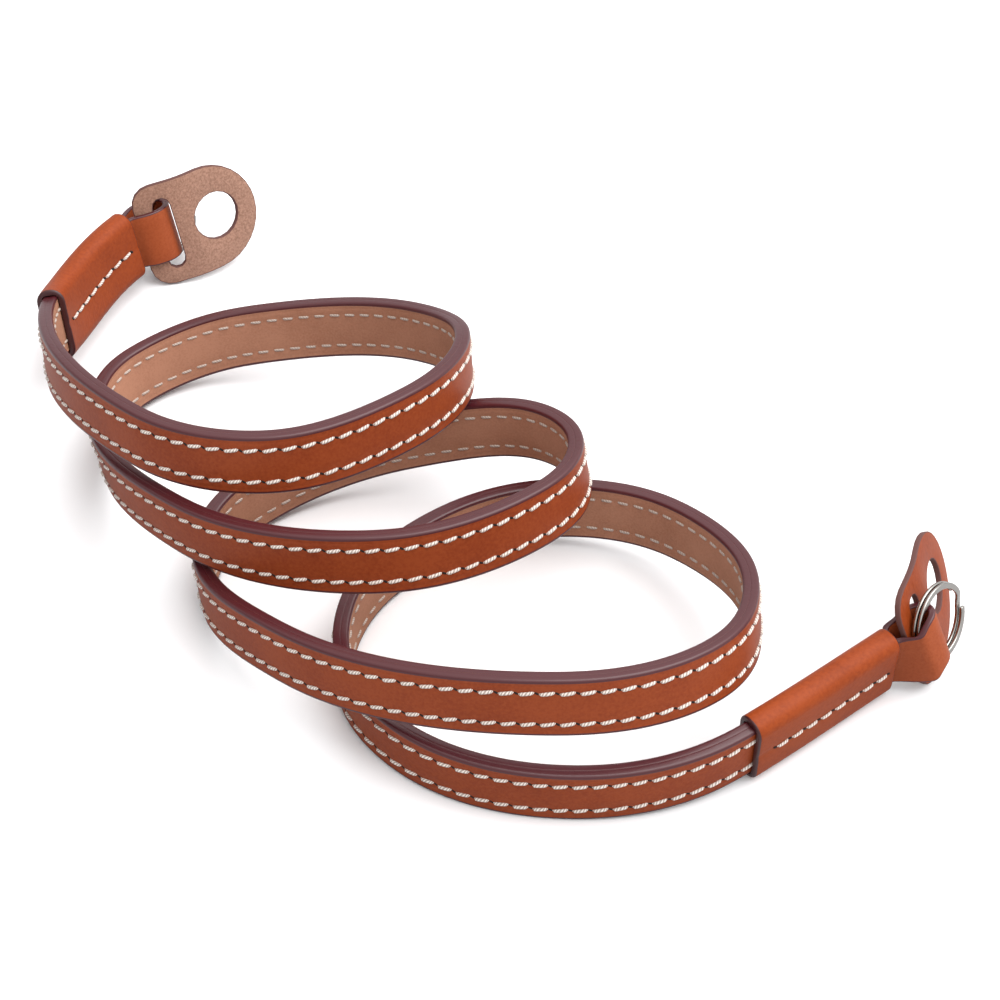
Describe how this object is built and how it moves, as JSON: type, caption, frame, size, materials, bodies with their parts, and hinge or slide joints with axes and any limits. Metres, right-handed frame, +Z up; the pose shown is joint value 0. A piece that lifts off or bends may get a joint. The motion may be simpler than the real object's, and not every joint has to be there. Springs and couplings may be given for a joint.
{
  "type": "leather camera strap",
  "caption": "Long narrow stitched leather camera strap, loosely coiled, with sleeves, ring guard flaps and split rings at its ends.",
  "frame": {"origin": "centre of the bounding box at its lowest level, which is the surface that the coiled strap lies on", "axes": "+Z up from the surface, +X to the right in the picture along the coil's longest way, +Y to its back"},
  "size_m": [0.2034, 0.1874, 0.0468],
  "materials": {
    "face_leather": "smooth saddle tan leather, waxed",
    "lining_leather": "matt natural tan leather",
    "sleeve_leather": "smooth tan leather with painted edges",
    "guard_leather": "smooth outside, sueded inside",
    "ring_nickel": "bright nickel plate"
  },
  "bodies": {
    "root": {"strap_face": "face_leather", "strap_lining": "lining_leather", "sleeve_a": "sleeve_leather", "sleeve_b": "sleeve_leather", "end_loop_a": "sleeve_leather", "end_loop_b": "sleeve_leather", "ring_guard_a": "guard_leather", "ring_guard_b": "guard_leather", "split_ring_a": "ring_nickel", "split_ring_b": "ring_nickel"}
  },
  "joints": []
}
